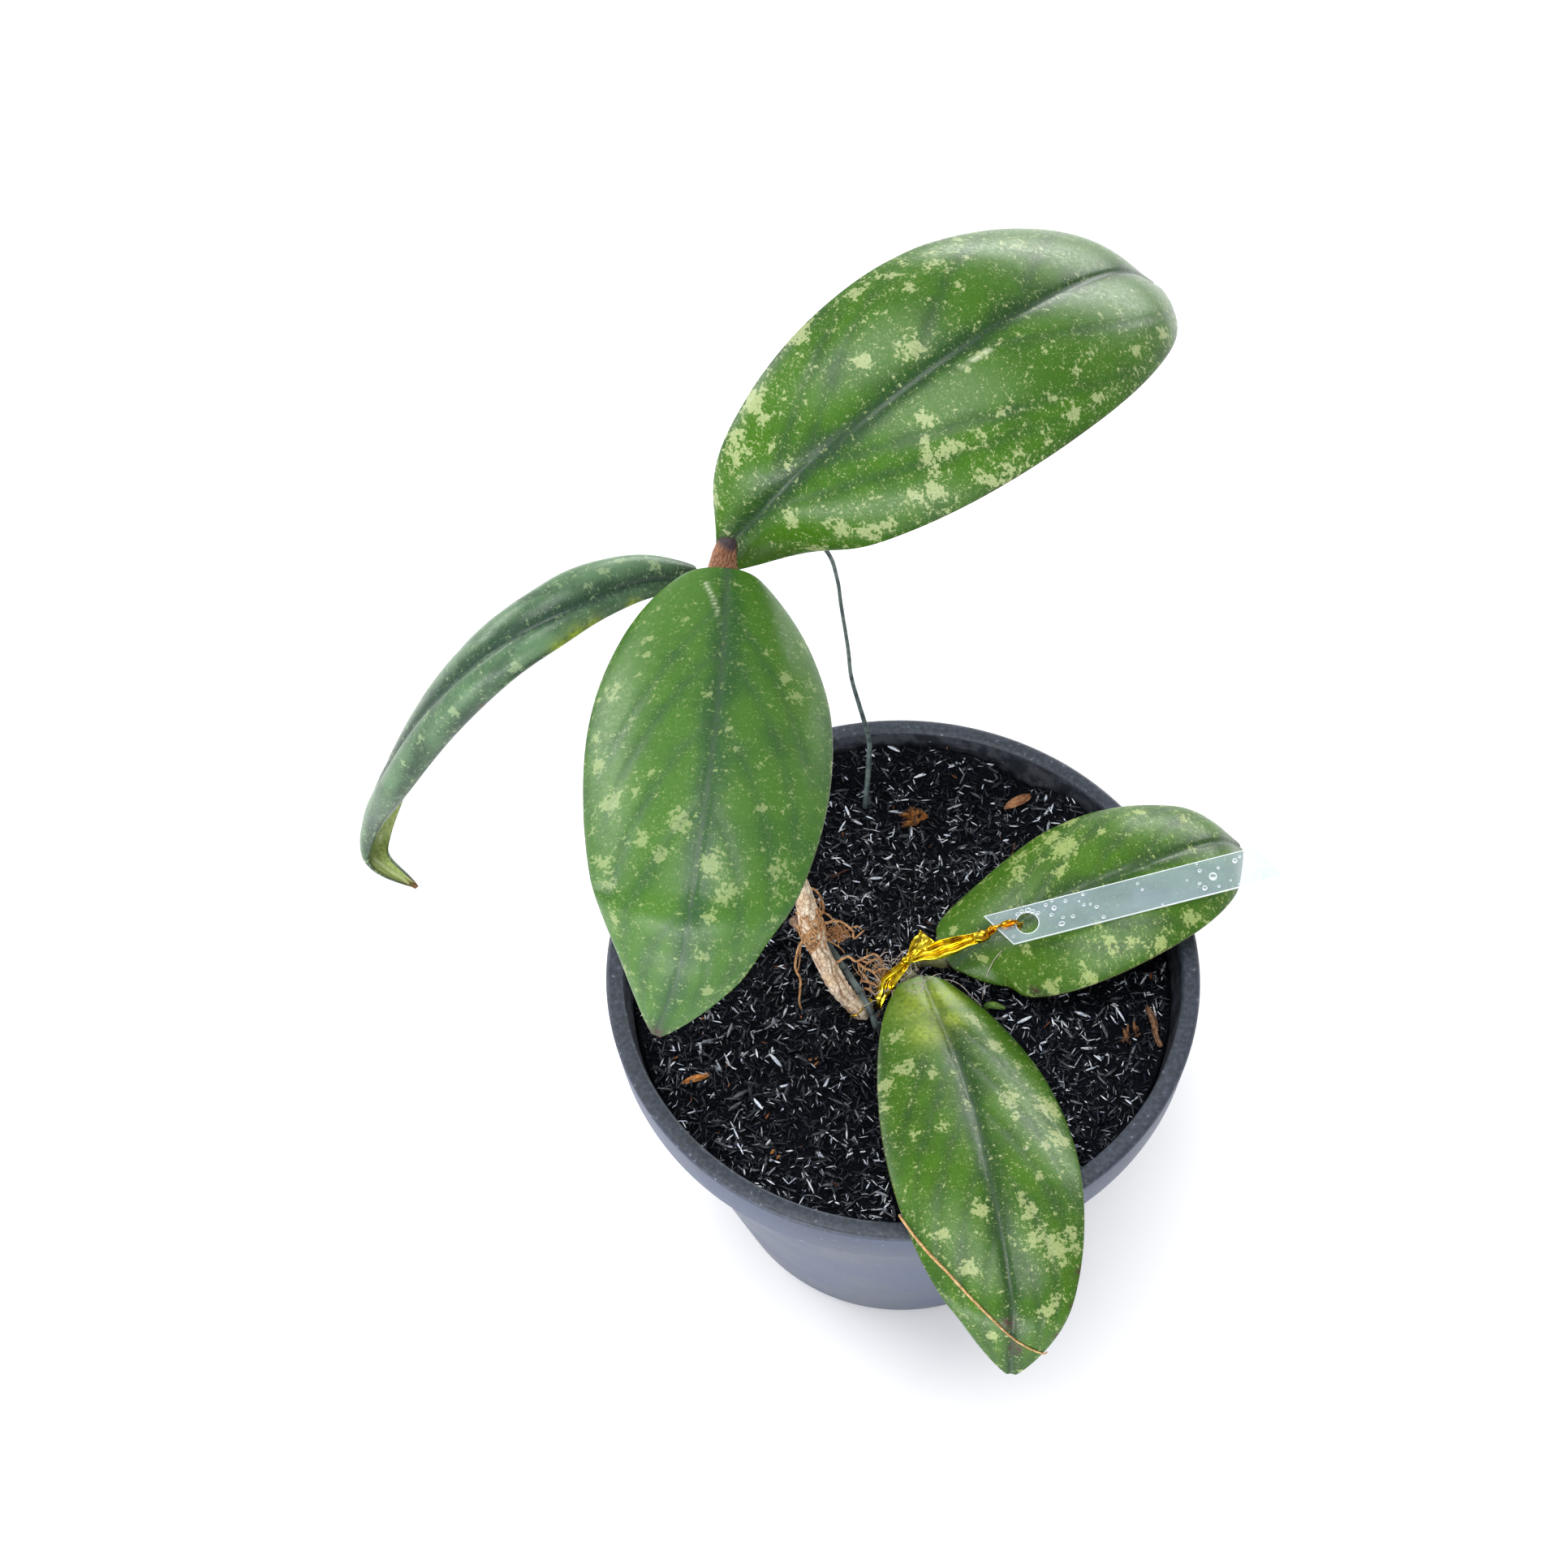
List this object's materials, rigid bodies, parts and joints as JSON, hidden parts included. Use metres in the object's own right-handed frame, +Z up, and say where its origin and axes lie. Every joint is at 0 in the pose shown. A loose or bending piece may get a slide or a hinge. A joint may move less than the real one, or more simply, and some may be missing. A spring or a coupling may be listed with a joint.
{
  "type": "potted hoya plant",
  "caption": "Splash-leaved hoya cutting on a wire hoop in a round nursery pot of burnt rice husk, with a blank clear label and a foil tie.",
  "frame": {"origin": "centre of the pot's flat foot, on the surface it stands on", "axes": "+Z up; -Y is the side the picture is taken from; +X is to the right as seen from there"},
  "size_m": [0.2314, 0.2258, 0.2578],
  "materials": {
    "pot_plastic": "satin recycled black polypropylene, lightly scuffed",
    "burnt_husk": "loose carbonised rice husk, dull black with silvery glints",
    "stem_bark": "corky tan bark with fine cracks",
    "green_shoot": "soft green shoot",
    "splashed_leaf": "thick satin leaf, dark green with pale splashes",
    "aerial_root": "dry fibrous root",
    "coated_wire": "green-grey coated wire, semi-gloss",
    "clear_label": "frosted clear plastic, wet",
    "gold_foil": "crinkled metallised gold film",
    "husk_and_bark": "dry husk and bark",
    "dark_bark": "dark reddish bark"
  },
  "bodies": {
    "root": {"nursery_pot": "pot_plastic", "growing_medium": "burnt_husk", "main_stem": "stem_bark", "lower_shoot": "green_shoot", "leaf_upper": "splashed_leaf", "leaf_left": "splashed_leaf", "leaf_centre": "splashed_leaf", "leaf_front": "splashed_leaf", "leaf_right": "splashed_leaf", "root_loop": "aerial_root", "root_right": "aerial_root", "root_left": "aerial_root", "root_low": "aerial_root", "root_tuft": "aerial_root", "support_wire": "coated_wire", "plant_label": "clear_label", "twist_tie": "gold_foil", "husk_back": "husk_and_bark", "husk_left": "husk_and_bark", "bark_chip_back": "husk_and_bark", "bark_chip_dark": "dark_bark", "bark_chip_right": "husk_and_bark", "bark_chip_front": "husk_and_bark", "bark_chip_near": "husk_and_bark", "stick": "dark_bark", "green_bud": "green_shoot"}
  },
  "joints": []
}
